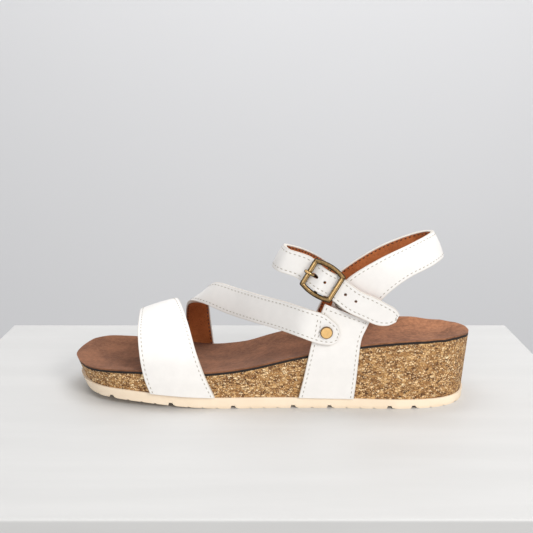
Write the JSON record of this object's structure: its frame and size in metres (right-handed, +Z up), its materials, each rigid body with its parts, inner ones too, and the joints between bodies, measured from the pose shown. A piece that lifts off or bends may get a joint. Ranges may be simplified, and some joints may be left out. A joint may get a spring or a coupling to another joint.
{
  "type": "wedge sandal",
  "caption": "Left-foot wedge sandal with toe strap, riveted cross strap, buckled ankle strap and heel strap on a cork wedge over a rubber outsole.",
  "frame": {"origin": "on the ground, under the middle of the sandal's bounding box", "axes": "+X towards the heel, +Y towards the medial (inner) side, +Z up; the buckle is on the lateral side, -Y"},
  "size_m": [0.2562, 0.0905, 0.1062],
  "materials": {
    "outsole_rubber": "matt moulded",
    "cork": "fine varnished granulate",
    "board": "dark matt",
    "sock": "napped, matt",
    "upper": "smooth satin",
    "lining": "fine grain, matt",
    "elastic": "ruched woven elastic",
    "buckle_metal": "antiqued",
    "rivet_metal": "satin"
  },
  "bodies": {
    "sandal": {"outsole": "outsole_rubber", "cork_wedge": "cork", "insole_board": "board", "sock_lining": "sock", "toe_strap_upper": "upper", "toe_strap_lining": "lining", "cross_strap_upper": "upper", "cross_strap_lining": "lining", "lateral_quarter_upper": "upper", "lateral_quarter_lining": "lining", "medial_quarter_upper": "upper", "medial_quarter_lining": "lining", "heel_strap_upper": "upper", "heel_strap_lining": "lining", "ankle_strap_upper": "upper", "ankle_strap_lining": "lining", "buckle_tab": "upper", "elastic_gore": "elastic", "rivet_cap": "rivet_metal", "rivet_base": "rivet_metal"},
    "buckle": {"buckle_frame": "buckle_metal"},
    "prong": {"buckle_prong": "buckle_metal"}
  },
  "joints": [
    {"name": "buckle_swing", "type": "hinge", "parent": "sandal", "child": "buckle", "pos_m": [0.03154, -0.03955, 0.08126], "axis": [0.5075, 0, 0.8616], "range_deg": [-3, 3]},
    {"name": "prong_lift", "type": "hinge", "parent": "buckle", "child": "prong", "pos_m": [0.03154, -0.03955, 0.08126], "axis": [0.5075, 0, 0.8616], "range_deg": [0, 6]}
  ]
}
